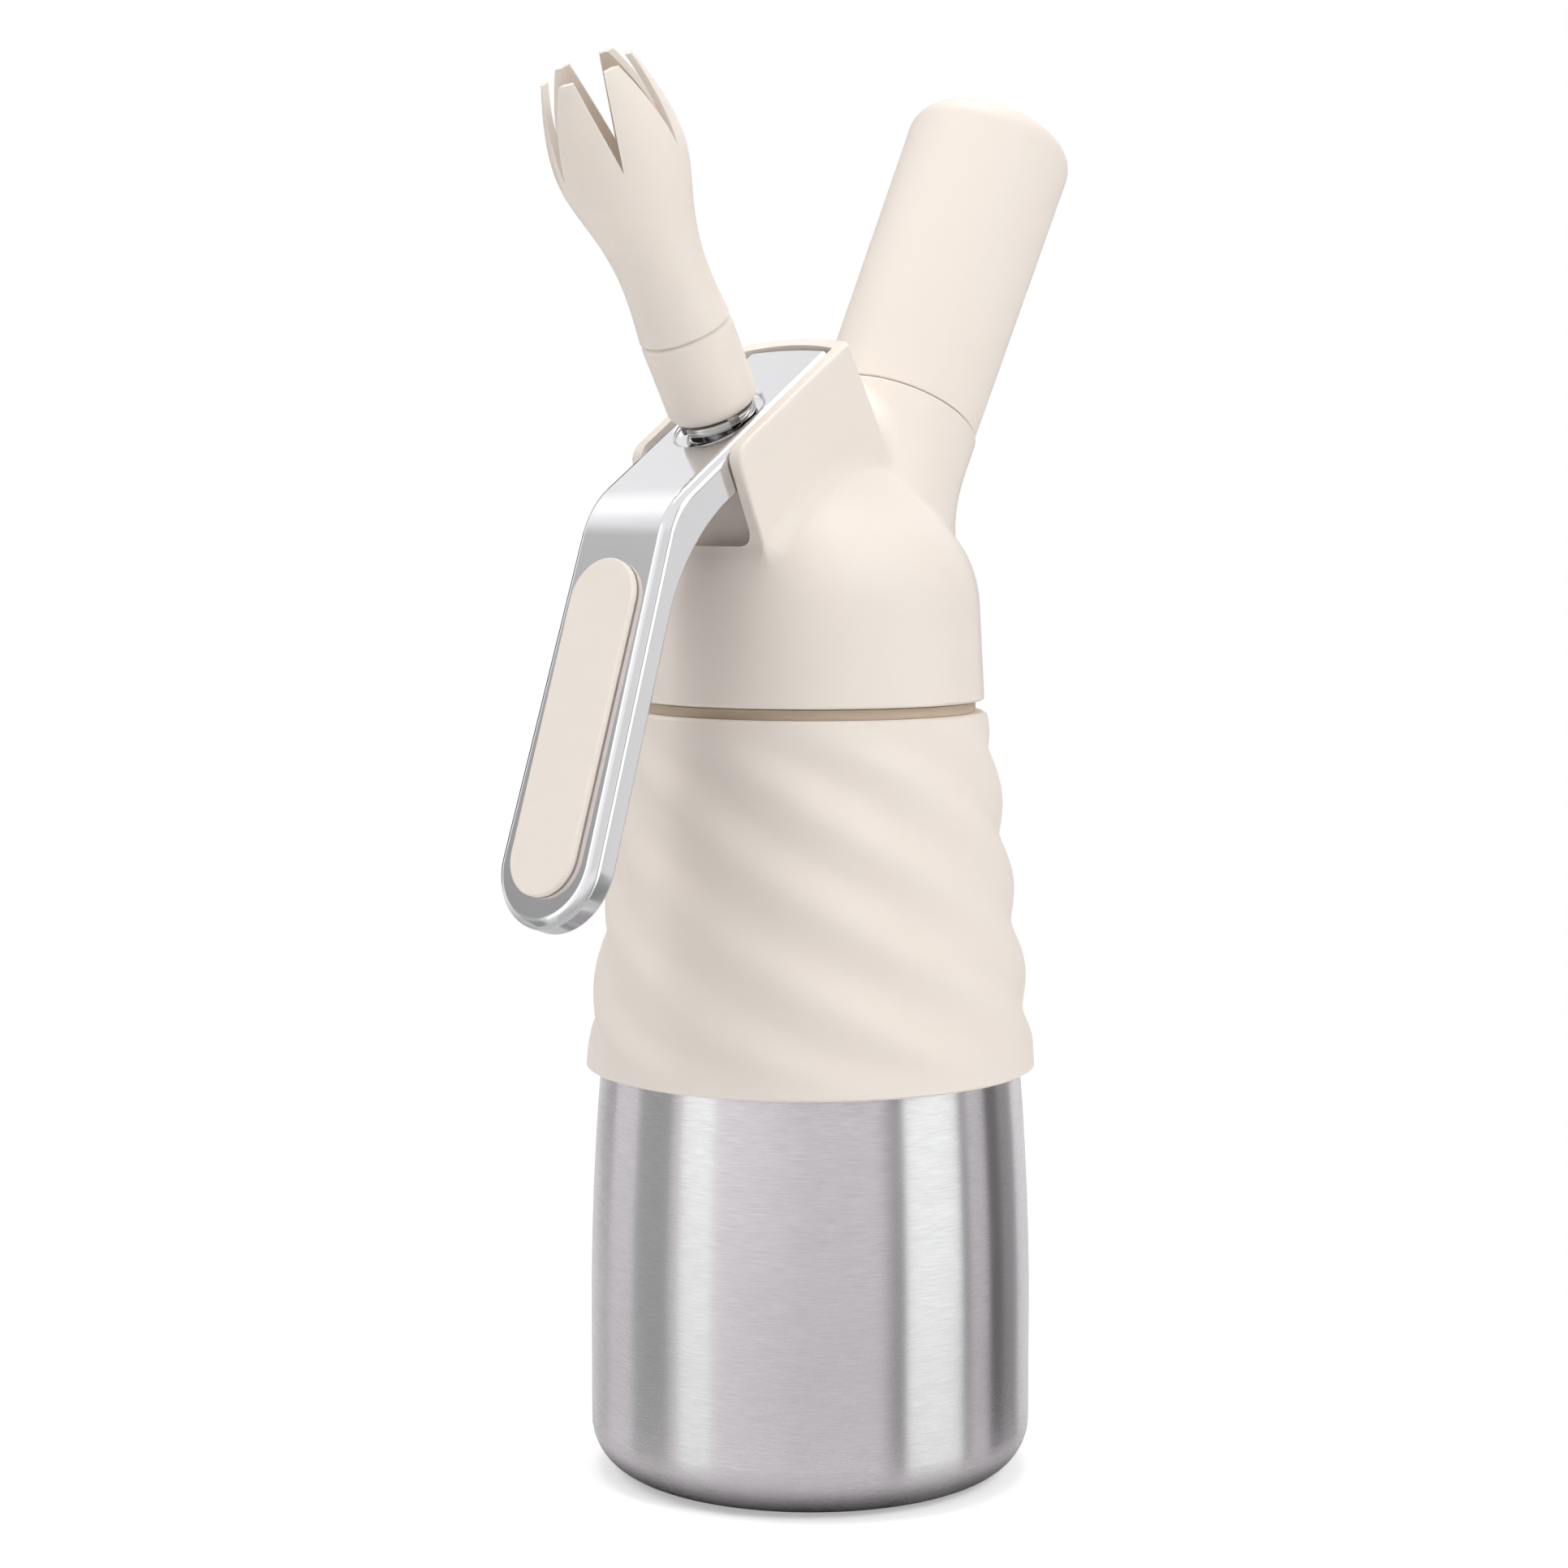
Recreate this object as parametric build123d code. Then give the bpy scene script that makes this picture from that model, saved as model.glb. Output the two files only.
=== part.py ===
from build123d import *
from math import asin, cos, pi, radians, sin, sqrt, tan
import os

os.makedirs("parts", exist_ok=True)

# A cream whipper: steel bottle, fluted sleeve, screwed head with a squeeze lever,
# a nozzle with a tulip tip and a charger holder. Millimetres, +Z up,
# origin at the centre of the bottle's foot, lever towards -X, symmetric about the XZ plane.

# Bottle
bottle_r = 40.0
bottle_wall = 0.9
base_round = 9.2
base_dish_r = 24.0
base_dish_depth = 1.5
barrel_height = 28.0
bow_height = 46.0
bow_r = 540.0
shoulder_height = 62.0
shoulder_top_r = 29.4
neck_inset = 1.8
neck_step = 2.0
neck_height = 15.0

# Sleeve
sleeve_gap = 0.1
sleeve_foot_drop = 0.2
sleeve_foot_wall = 2.7
sleeve_top_rise = 0.2
sleeve_top_wall = 2.4
sleeve_edge = 0.8
sleeve_lip_wall = 1.5
sleeve_lip_rise = 3.0
flute_count = 8
flute_depth = 0.75
flute_turn_per_mm = 2.85
flute_angle = -46.0
flute_fade = 9.0
flute_sections = 41
flute_points = 8

# Head
head_gap = 2.0
head_rim_inset = 0.47
head_edge = 0.6
head_shoulder_rise = 16.8
head_shoulder_inset = 0.88
bell_upper_rise = 11.0
bell_upper_inset = 3.45
bell_inner_rise = 19.5
bell_inner_inset = 10.95
bell_top_rise = 26.5
bell_top_inset = 20.45
head_blend = 5.0
skirt_gap = 0.6
thread_gap = 0.5
gasket_thickness = 2.2
gasket_width = 3.6
gasket_gap = 0.1
chamber_r = 22.0
chamber_rise = 1.2

# Axes of nozzle and charger holder, crossing on the bottle's axis
apex_rise = 6.8
nozzle_tilt_angle = 29.5
holder_tilt_angle = 28.5

# Charger boss
boss_r = 15.45
boss_top = 50.4
boss_neck = 6.4
boss_flare = 5.55
boss_flare_length = 20.0
parting_round = 0.3

# Lever
plate_rake_angle = 4.0
plate_level = 48.7
plate_rear = 21.1
plate_front = 26.8
plate_bow = 1.6
handle_lean_angle = 18.7
handle_length = 73.4
lever_half = 10.1
handle_half = 11.3
flare_start = 12.0
face_rise = 1.0
edge_slope = 1.3
lever_sheet = 2.0
ring_seat_gap = 0.7
flange_wall = 1.8
plate_flange = 6.5
handle_flange = 4.4
bend_outer_r = 15.0
bend_inner_r = 37.0
slot_side_gap = 0.8
slot_end_play = 1.3

# Cheeks and channel round the lever
cheek_gap = 0.3
cheek_wall = 2.5
cheek_rise = 1.2
cheek_front = 11.15
cheek_corner = 3.5
cheek_front_angle = 23.6
cheek_edge = 0.7
cheek_root_rise = 1.0
wall_corner = 2.2
wall_inner_corner = 0.6
wall_lean_angle = 30.6
wall_gap = 1.0
wall_thickness = 2.4
channel_gap = 3.0
pocket_rise = 27.8
pocket_corner = 3.0
pin_r = 1.5
pin_back = 8.0
pin_drop = 3.6
pin_blind = 1.6
pin_seat_gap = 0.02
pin_running_gap = 0.05

# Thumb pad
pad_start = 9.5
pad_end_margin = 5.1
pad_half = 7.2
pad_thickness = 1.1
pad_round = 0.4
pad_base_thickness = 0.3
pad_base_inset = 0.4

# Valve along the nozzle axis
stem_r = 4.0
stem_bore_r = 2.4
stem_reach = 4.8
stem_port_r = 1.3
stem_running_gap = 0.05
stem_nose = 3.8
stem_flange = 1.5
stem_flange_gap = 0.4
valve_port_r = 2.6
valve_floor_wall = 2.5
seat_thickness = 2.0
seat_gap = 0.1
disc_thickness = 1.6
disc_overlap = 2.0
washer_thickness = 0.6
spring_wire_r = 0.45
spring_turns = 4
bush_wall = 2.0
bush_length = 5.7
bush_recess = 1.0
o_ring_wire_r = 0.9

# Bearing ring, collar and tip along the nozzle axis
ring_lift_gap = 0.6
ring_thickness = 1.6
ring_width = 2.8
ring_bore_gap = 0.1
ring_round = 0.4
ring_notches = 4
ring_notch = 2.0
ring_notch_depth = 1.2
ring_turn = 67.0
collar_gap = 0.1
collar_foot_r = 8.05
collar_top_r = 8.2
collar_length = 15.8
collar_round = 2.6
collar_top_round = 1.0
tip_gap = 0.4
tip_foot_r = 8.15
tip_waist_r = 7.57
tip_waist_rise = 9.3
tip_bulge_r = 11.36
tip_bulge_rise = 31.3
tip_mouth_r = 8.0
tip_length = 47.8
tip_wall = 1.2
tip_throat_r = 5.0
tip_petals = 6
tip_notch_length = 15.8
tip_notch_half = 2.65
tip_turn = -16.0
insert_gap = 0.3
insert_wall = 2.0
insert_length = 8.0

# Charger holder, stud and cartridge along the holder axis
holder_gap = 0.5
holder_step = 0.4
holder_flare = 0.65
holder_round = 4.5
holder_wall = 2.0
holder_end_wall = 2.35
liner_wall = 1.1
liner_end = 1.2
cartridge_r = 9.0
cartridge_length = 65.5
cartridge_neck_r = 3.8
cartridge_neck = 7.0
cartridge_shoulder = 9.0
cartridge_round = 4.0
cartridge_gap = 0.3
cartridge_seat = 8.3
stud_thread_gap = 0.3
stud_rise = 12.6
stud_flange_wall = 2.45
stud_flange = 6.4
stud_shank_wall = 2.0
stud_lip = 1.3
pin_seat_r = 4.0
pin_tip_r = 1.2
pin_tail_r = 1.6
pin_tail_length = 10.3
pin_hole_r = 0.5
pin_flange = 2.0
retainer_height = 2.0
piercing_gasket_height = 2.5
sleeve_valve_wall = 0.95
sleeve_valve_length = 5.0
gas_bore_gap = 0.6
gas_bore_end_gap = 1.0
gas_port_r = 1.5
fit_gap = 0.05


def save(name, shape):
    """Write one piece and print its volume."""
    solids = shape.solids()
    piece = solids[0] if len(solids) == 1 else Compound(children=list(solids))
    export_step(piece, f"parts/{name}.step")
    print(name, len(solids), round(sum(solid.volume for solid in solids)))


def turned(*edges):
    """Turn a closed outline, drawn as radius against height, about the Z axis."""
    return revolve(Plane.XZ * make_face(Curve() + list(edges)), Axis.Z)


def ring(inner_r, outer_r, bottom, top):
    """A plain ring or tube; a rod when the inner radius is zero."""
    align = (Align.CENTER, Align.CENTER, Align.MIN)
    body = Pos(0, 0, bottom) * Cylinder(outer_r, top - bottom, align=align)
    if inner_r > 0:
        body -= Pos(0, 0, bottom) * Cylinder(inner_r, top - bottom, align=align)
    return body


def tilted(angle, origin):
    """A frame whose Z leans by an angle from vertical towards +X."""
    lean = radians(angle)
    return Plane(origin=origin, x_dir=(cos(lean), 0, -sin(lean)), z_dir=(sin(lean), 0, cos(lean)))


def slab(face, half):
    """A side outline, drawn in X and Z, made solid to both sides of the XZ plane."""
    return extrude(Plane.XZ * face, half, both=True)


def hollow_edges(body, above_z):
    """The inward corners of a body above a height, where its forms meet."""
    faces = body.faces()
    found = []
    for edge in body.edges():
        if edge.center().Z < above_z:
            continue
        sides = [face for face in faces if any(edge.is_same(other) for other in face.edges())]
        if len(sides) == 2 and edge.is_interior:
            found.append(edge)
    return found


# Heights and radii that follow from the sizes above
shoulder_z = barrel_height + bow_height
shoulder_top_z = shoulder_z + shoulder_height
neck_r = shoulder_top_r - neck_inset
neck_base_z = shoulder_top_z + neck_step
bottle_rim_z = shoulder_top_z + neck_height
bow_angle = asin(bow_height / bow_r)
shoulder_r = bottle_r - bow_r * (1 - cos(bow_angle))
sleeve_foot_z = shoulder_z - sleeve_foot_drop
sleeve_foot_r = shoulder_r + sleeve_foot_wall
sleeve_top_z = neck_base_z + sleeve_top_rise
sleeve_top_r = shoulder_top_r + sleeve_top_wall
sleeve_lip_r = neck_r + sleeve_gap + sleeve_lip_wall
sleeve_lip_z = sleeve_top_z + sleeve_lip_rise
head_rim_z = sleeve_top_z + head_gap
head_rim_r = sleeve_top_r - head_rim_inset
head_shoulder_z = head_rim_z + head_shoulder_rise
head_shoulder_r = head_rim_r - head_shoulder_inset
ceiling_z = bottle_rim_z + gasket_gap + gasket_thickness
chamber_z = ceiling_z + chamber_rise
apex_z = head_rim_z + apex_rise
pocket_z = head_rim_z + pocket_rise

# Frames of the nozzle, the charger holder, the lever's plate and its handle
nozzle_frame = tilted(-nozzle_tilt_angle, (0, 0, apex_z))
holder_frame = tilted(holder_tilt_angle, (0, 0, apex_z))
plate_slope = nozzle_tilt_angle + plate_rake_angle
plate_frame = tilted(-plate_slope, nozzle_frame.from_local_coords((0, 0, plate_level)))
handle_frame = Plane(
    origin=plate_frame.from_local_coords((-plate_front, 0, 0)),
    x_dir=(-sin(radians(handle_lean_angle)), 0, -cos(radians(handle_lean_angle))),
    z_dir=(-cos(radians(handle_lean_angle)), 0, sin(radians(handle_lean_angle))),
)
bend_turn = 90 - handle_lean_angle - plate_slope
cheek_in = lever_half + cheek_gap
cheek_out = cheek_in + cheek_wall
cheek_root_z = head_shoulder_z + cheek_root_rise
rear_wall = plate_rear + wall_gap + wall_thickness
channel_drop = plate_flange + channel_gap

# Places along the nozzle axis, from the crossing of the axes
valve_bore_r = stem_r + bush_wall
valve_lean = radians(nozzle_tilt_angle)
valve_floor = (chamber_z - apex_z + valve_bore_r * sin(valve_lean)) / cos(valve_lean) + valve_floor_wall
seat_top = valve_floor + seat_thickness
disc_bottom = seat_top + seat_gap
stem_bottom = disc_bottom + disc_thickness
flange_bottom = stem_bottom + stem_nose
flange_top = flange_bottom + stem_flange
washer_top = flange_top + washer_thickness
bush_top = plate_level - channel_drop - bush_recess
bush_bottom = bush_top - bush_length
o_ring_r = stem_r + stem_running_gap + o_ring_wire_r
o_ring_at = (bush_bottom + bush_top) / 2
ring_r = stem_r + ring_bore_gap + ring_width
ring_bottom = plate_level + ring_lift_gap
ring_top = ring_bottom + ring_thickness
collar_bottom = ring_top + collar_gap
collar_top = collar_bottom + collar_length
tip_bottom = collar_top + tip_gap
tip_waist = tip_bottom + tip_waist_rise
tip_bulge = tip_bottom + tip_bulge_rise
tip_mouth = tip_bottom + tip_length
tip_notch_from = tip_mouth - tip_notch_length
insert_r = stem_r + insert_gap + insert_wall
insert_top = tip_bottom + insert_length
stem_top = tip_bottom + stem_reach

# Places along the holder axis, from the crossing of the axes
holder_bottom = boss_top + holder_gap
holder_foot_r = boss_r - holder_step
holder_inner_r = holder_foot_r - holder_wall
liner_r = holder_inner_r - fit_gap
cartridge_tip = boss_top - cartridge_seat
cartridge_top = cartridge_tip + cartridge_length
liner_inner_top = cartridge_top + cartridge_gap
liner_top = liner_inner_top + liner_end
holder_inner_top = liner_top + fit_gap
holder_top = holder_inner_top + holder_end_wall
stud_r = liner_r - liner_wall - stud_thread_gap
stud_top = boss_top + stud_rise
stud_flange_r = boss_r - stud_flange_wall
stud_shank_r = pin_seat_r + stud_shank_wall
gasket_top = cartridge_tip - cartridge_gap
gasket_bottom = gasket_top - piercing_gasket_height
pin_flange_bottom = gasket_bottom - pin_flange
retainer_bottom = pin_flange_bottom - retainer_height
stud_bottom = retainer_bottom - stud_lip
pin_tail_end = pin_flange_bottom - pin_tail_length
sleeve_valve_r = pin_tail_r + fit_gap + sleeve_valve_wall
gas_bore_r = sleeve_valve_r + gas_bore_gap
gas_bore_bottom = pin_tail_end - gas_bore_end_gap


def bottle_form(inset):
    """The bottle's outside, or its inside when drawn inset by the wall."""
    foot_r = bottle_r - base_round
    corner = (base_round - inset) * sqrt(0.5)
    arc_r = bow_r - inset
    bow_centre = bottle_r - bow_r
    bow_mid = (bow_centre + arc_r * cos(bow_angle / 2), barrel_height + arc_r * sin(bow_angle / 2))
    bow_end = (bow_centre + arc_r * cos(bow_angle), barrel_height + arc_r * sin(bow_angle))
    dish = (0, base_dish_depth + inset)
    dish_mid = (base_dish_r / 2, 0.75 * base_dish_depth + inset)
    return turned(
        ThreePointArc(dish, dish_mid, (base_dish_r, inset)),
        Line((base_dish_r, inset), (foot_r, inset)),
        ThreePointArc(
            (foot_r, inset),
            (foot_r + corner, base_round - corner),
            (bottle_r - inset, base_round),
        ),
        Line((bottle_r - inset, base_round), (bottle_r - inset, barrel_height)),
        ThreePointArc((bottle_r - inset, barrel_height), bow_mid, bow_end),
        Polyline(
            bow_end,
            (shoulder_top_r - inset, shoulder_top_z),
            (neck_r - inset, neck_base_z),
            (neck_r - inset, bottle_rim_z),
            (0, bottle_rim_z),
            dish,
        ),
    )


def make_bottle():
    return bottle_form(0) - bottle_form(bottle_wall)


def flute_section(z):
    """One closed section of the sleeve, its flutes turned with height and faded at both ends."""
    share = (z - sleeve_foot_z) / (sleeve_top_z - sleeve_foot_z)
    mean_r = sleeve_foot_r + (sleeve_top_r - sleeve_foot_r) * share
    edge = max(0.0, min(1.0, min(z - sleeve_foot_z, sleeve_top_z - z) / flute_fade))
    wave = flute_depth * edge * edge * (3 - 2 * edge)
    middle_z = (sleeve_foot_z + sleeve_top_z) / 2
    crest = radians(flute_angle - flute_turn_per_mm * (z - middle_z))
    count = flute_count * flute_points
    points = []
    for step in range(count):
        angle = 2 * pi * step / count
        radius = mean_r + wave * cos(flute_count * (angle - crest))
        points.append((radius * cos(angle), radius * sin(angle), z))
    even = [step / count for step in range(count + 1)]
    return make_face(Edge.make_spline(points, periodic=True, parameters=even))


def sleeve_envelope():
    """Turned form with rounded rims that trims the fluted body."""
    rise = 2.5 * sleeve_edge
    swell = 1.5 * sleeve_edge + flute_depth / 2
    foot = (sleeve_foot_r - sleeve_edge, sleeve_foot_z)
    foot_mid = (sleeve_foot_r - sleeve_edge / 8, sleeve_foot_z + sleeve_edge / 2)
    foot_end = (sleeve_foot_r + swell, sleeve_foot_z + rise)
    top = (sleeve_top_r - sleeve_edge, sleeve_top_z)
    top_mid = (sleeve_top_r - sleeve_edge / 8, sleeve_top_z - sleeve_edge / 2)
    top_end = (sleeve_top_r + swell, sleeve_top_z - rise)
    return turned(
        Polyline(top, (0, sleeve_top_z), (0, sleeve_foot_z), foot),
        ThreePointArc(foot, foot_mid, foot_end),
        Line(foot_end, top_end),
        ThreePointArc(top_end, top_mid, top),
    )


def make_sleeve():
    rise = (sleeve_top_z - sleeve_foot_z) / (flute_sections - 1)
    outside = loft([flute_section(sleeve_foot_z + rise * step) for step in range(flute_sections)])
    outside &= sleeve_envelope()
    lip = ring(0, sleeve_lip_r, sleeve_top_z - sleeve_edge, sleeve_lip_z)
    return outside + lip - bottle_form(-sleeve_gap)


def head_bell():
    """Round lower part of the head, closing in a bell towards the horns."""
    shoulder = (head_shoulder_r, head_shoulder_z)
    upper = (head_shoulder_r - bell_upper_inset, head_shoulder_z + bell_upper_rise)
    inner = (head_shoulder_r - bell_inner_inset, head_shoulder_z + bell_inner_rise)
    top = (head_shoulder_r - bell_top_inset, head_shoulder_z + bell_top_rise)
    start = (head_shoulder_r - head_rim_r, head_shoulder_rise)
    body = turned(
        Polyline((0, top[1]), (0, head_rim_z), (head_rim_r, head_rim_z), shoulder),
        Spline(shoulder, upper, inner, top, tangents=[start, (-1, 0.35)]),
        Line(top, (0, top[1])),
    )
    return fillet(body.edges().filter_by(GeomType.CIRCLE).group_by(Axis.Z)[0], head_edge)


def head_boss():
    """Tilted horn that the charger holder stands on, flared at its root."""
    flare_top = boss_top - boss_neck
    root = (boss_r + boss_flare, flare_top - boss_flare_length)
    neck = (boss_r, flare_top)
    body = turned(
        Polyline((boss_r, boss_top), (0, boss_top), (0, root[1]), root),
        Spline(root, neck, tangents=[(-0.6, 1), (0, 1)]),
        Line(neck, (boss_r, boss_top)),
    )
    rim = body.edges().filter_by(GeomType.CIRCLE).group_by(Axis.Z)[-1]
    return holder_frame * fillet(rim, parting_round)


def on_plate(along, up):
    """World X and Z of a point given along the lever plate and above it."""
    point = plate_frame.from_local_coords((along, 0, up))
    return (point.X, point.Z)


def rear_trim(back, half, corner, length):
    """A prism with a bowed, round-cornered rear, which leans with the rear wall."""
    corner_x, corner_z = on_plate(back, cheek_rise)
    frame = tilted(-wall_lean_angle, (corner_x, 0, corner_z))
    plan = make_face(
        Curve()
        + [
            ThreePointArc((0, -half), (plate_bow, 0), (0, half)),
            Polyline((0, half), (-length, half), (-length, -half), (0, -half)),
        ]
    )
    plan = fillet(plan.vertices().group_by(Axis.X)[-1], corner)
    return frame * extrude(Pos(0, 0, -length) * plan, 2 * length)


def cheek_rim(block):
    """Outer edges of the cheek block, round its top and down its two front corners."""
    rim = ShapeList()
    for edge in block.edges():
        place = plate_frame.to_local_coords(edge @ 0.5)
        across = edge.geom_type == GeomType.LINE and abs((edge % 0.5).Y) > 0.9
        on_top = abs(place.Z - cheek_rise) < 0.01
        at_front = place.X < cheek_corner / 2 - cheek_front
        if (on_top or at_front) and not across:
            rim.append(edge)
    return rim


def head_cheeks():
    """Solid block of the two cheeks and the rear wall, before the channel is cut."""
    front_x, front_z = on_plate(-cheek_front, cheek_rise)
    rear_x, rear_z = on_plate(2 * rear_wall, cheek_rise)
    root_x = front_x + (front_z - cheek_root_z) * tan(radians(cheek_front_angle))
    side = make_face(
        Polyline(
            (front_x, front_z),
            (rear_x, rear_z),
            (rear_x, cheek_root_z),
            (root_x, cheek_root_z),
            close=True,
        )
    )
    side = fillet(side.vertices().sort_by(Axis.X)[0], cheek_corner)
    block = slab(side, cheek_out) & rear_trim(rear_wall, cheek_out, wall_corner, 3 * rear_wall)
    return fillet(cheek_rim(block), cheek_edge)


def lever_channel():
    """Space between the cheeks: a sloping floor under the lever and a pocket under its bend."""
    front_x = on_plate(-plate_front - cheek_front, 0)[0]
    pocket_wall_x = on_plate(0, 0)[0]
    floor_rear = on_plate(2 * rear_wall, -channel_drop)
    floor_slope = tan(radians(plate_slope))
    floor_front = (pocket_wall_x, floor_rear[1] - (floor_rear[0] - pocket_wall_x) * floor_slope)
    high_z = floor_rear[1] + rear_wall
    side = make_face(
        Polyline(
            (front_x, pocket_z),
            (pocket_wall_x, pocket_z),
            floor_front,
            floor_rear,
            (floor_rear[0], high_z),
            (front_x, high_z),
            close=True,
        )
    )
    side = fillet(side.vertices().group_by(Axis.Z)[0].sort_by(Axis.X)[-1], pocket_corner / 2)
    inner_rear = rear_wall - wall_thickness
    cut = slab(side, cheek_in) & rear_trim(inner_rear, cheek_in, wall_inner_corner, 3 * rear_wall)
    return fillet(cut.edges().filter_by(Axis.X).group_by(Axis.Z)[0], pocket_corner)


def pin_place():
    """Pivot of the lever in X and Z."""
    return on_plate(-pin_back, -pin_drop)


def pin_rod(radius, low_y, high_y):
    """A rod across the cheeks on the lever's pivot."""
    pin_x, pin_z = pin_place()
    rod = Cylinder(radius, high_y - low_y, align=(Align.CENTER, Align.CENTER, Align.MAX))
    return Pos(pin_x, low_y, pin_z) * Rot(90, 0, 0) * rod


def make_head():
    body = head_bell() + head_boss() + head_cheeks()
    body = fillet(hollow_edges(body, cheek_root_z), head_blend)
    body -= lever_channel()
    body -= pin_rod(pin_r + pin_seat_gap, -cheek_in - pin_blind, 2 * cheek_out)
    body -= ring(0, sleeve_lip_r + skirt_gap, head_rim_z, sleeve_lip_z + skirt_gap)
    body -= ring(0, neck_r + thread_gap, head_rim_z, ceiling_z)
    body -= ring(0, chamber_r, ceiling_z, chamber_z)
    body -= nozzle_frame * ring(0, valve_bore_r, valve_floor, plate_level)
    body -= nozzle_frame * ring(0, valve_port_r, 0, valve_floor)
    body -= holder_frame * ring(0, stud_flange_r + fit_gap, boss_top - stud_flange, boss_top)
    body -= holder_frame * ring(0, stud_shank_r + fit_gap, stud_bottom, boss_top)
    body -= holder_frame * ring(0, gas_bore_r, gas_bore_bottom, stud_bottom)
    body -= holder_frame * ring(0, gas_port_r, 0, gas_bore_bottom)
    return body


def make_gasket():
    outer_r = neck_r + thread_gap - fit_gap
    return ring(outer_r - gasket_width, outer_r, ceiling_z - gasket_thickness, ceiling_z)


def make_lever_pin():
    return pin_rod(pin_r, -cheek_in - pin_blind, cheek_out)


def lever_side(top_inset, depth_plate, depth_handle, bend_r):
    """Side outline of the lever between its face, inset, and two depths under plate and handle."""
    turn = radians(bend_turn)
    reach = handle_length + plate_front
    inner_x = -plate_front + (depth_handle - depth_plate * cos(turn)) / sin(turn)
    outer = (-plate_front + top_inset * tan(turn / 2), -top_inset)
    inner = (inner_x, -depth_plate)
    run = (-reach * cos(turn), -reach * sin(turn))
    side = make_face(
        Polyline(
            (2 * plate_rear, outer[1]),
            outer,
            (outer[0] + run[0], outer[1] + run[1]),
            (inner[0] + run[0], inner[1] + run[1]),
            inner,
            (2 * plate_rear, inner[1]),
            close=True,
        )
    )
    side = fillet(side.vertices().sort_by_distance(outer)[0], bend_outer_r - top_inset)
    side = fillet(side.vertices().sort_by_distance(inner)[0], bend_r)
    return plate_frame * slab(side, 2 * handle_half)


def lever_plan(inset):
    """Front outline of the lever, widening to a round end, as a deep prism."""
    end_x = handle_length - handle_half
    top = (-2 * plate_front - plate_rear, lever_half - inset)
    bend = (-flare_start, lever_half - inset)
    end = (end_x, handle_half - inset)
    plan = make_face(
        Curve()
        + [
            Polyline((end[0], -end[1]), (bend[0], -bend[1]), (top[0], -top[1]), top, bend, end),
            ThreePointArc(end, (handle_length - inset, 0), (end[0], -end[1])),
        ]
    )
    return handle_frame * extrude(plan, handle_length, both=True)


def face_edges(body):
    """Outer edges of the lever's face, along both sides and round the handle's end."""
    found = []
    for edge in body.edges() - body.edges().filter_by(Axis.Y):
        middle = edge @ 0.5
        rise = max(plate_frame.to_local_coords(middle).Z, handle_frame.to_local_coords(middle).Z)
        if rise > 0:
            found.append(edge)
    return found


def make_lever():
    far = plate_flange + handle_flange
    body = lever_side(-face_rise, plate_flange, handle_flange, bend_inner_r) & lever_plan(0)
    body = chamfer(face_edges(body), edge_slope)
    under = lever_side(lever_sheet - face_rise, 2 * far, 2 * far, bend_outer_r)
    body -= under & lever_plan(flange_wall)
    body &= rear_trim(plate_rear, cheek_out, wall_inner_corner, 2 * (handle_length + plate_front))
    seat = SlotCenterToCenter(2 * slot_end_play, 2 * (ring_r + ring_seat_gap))
    body -= plate_frame * extrude(seat, far)
    slot = SlotCenterToCenter(2 * slot_end_play, 2 * (stem_r + slot_side_gap))
    body -= plate_frame * extrude(slot, far, both=True)
    body -= pin_rod(pin_r + pin_running_gap, -cheek_out, cheek_out)
    return body


def pad_layer(bottom, thickness, inset):
    """One layer of the thumb pad, with straight sides and round ends."""
    pad_end = handle_length - pad_end_margin
    length = pad_end - pad_start - 2 * inset
    plan = Pos((pad_start + pad_end) / 2, 0, bottom) * SlotOverall(length, 2 * (pad_half - inset))
    return extrude(plan, thickness)


def make_pad_base():
    return handle_frame * pad_layer(face_rise, pad_base_thickness, pad_base_inset)


def make_pad():
    layer = pad_layer(face_rise + pad_base_thickness, pad_thickness, 0)
    return handle_frame * fillet(layer.faces().sort_by(Axis.Z)[-1].edges(), pad_round)


def make_valve_seat():
    return nozzle_frame * ring(valve_port_r, valve_bore_r - fit_gap, valve_floor, seat_top)


def make_valve_disc():
    return nozzle_frame * ring(0, valve_port_r + disc_overlap, disc_bottom, stem_bottom)


def make_valve_stem():
    stem = ring(0, stem_r, stem_bottom, stem_top)
    stem += ring(0, valve_bore_r - stem_flange_gap, flange_bottom, flange_top)
    bore_bottom = stem_bottom + stem_port_r / 2
    stem -= ring(0, stem_bore_r, bore_bottom, stem_top)
    port = Cylinder(stem_port_r, 3 * stem_r)
    stem -= Pos(0, 0, stem_bottom + stem_nose / 2) * Rot(90, 0, 0) * port
    stem = chamfer(stem.edges().group_by(Axis.Z)[-1].sort_by(SortBy.LENGTH)[-1], stem_r / 8)
    return nozzle_frame * stem


def make_washer():
    outer_r = valve_bore_r - stem_flange_gap
    return nozzle_frame * ring(stem_r + fit_gap, outer_r, flange_top, washer_top)


def make_spring():
    bottom = washer_top + spring_wire_r + fit_gap
    height = bush_bottom - spring_wire_r - fit_gap - bottom
    path = Helix(height / spring_turns, height, (stem_r + valve_bore_r) / 2)
    wire = Plane(origin=path @ 0, z_dir=path % 0) * Circle(spring_wire_r)
    return nozzle_frame * (Pos(0, 0, bottom) * sweep(wire, path, is_frenet=True))


def make_bush():
    bush = ring(stem_r + stem_running_gap, valve_bore_r - fit_gap, bush_bottom, bush_top)
    groove_r = o_ring_r + o_ring_wire_r + fit_gap
    half = o_ring_wire_r + fit_gap
    bush -= ring(0, groove_r, o_ring_at - half, o_ring_at + half)
    return nozzle_frame * bush


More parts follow.
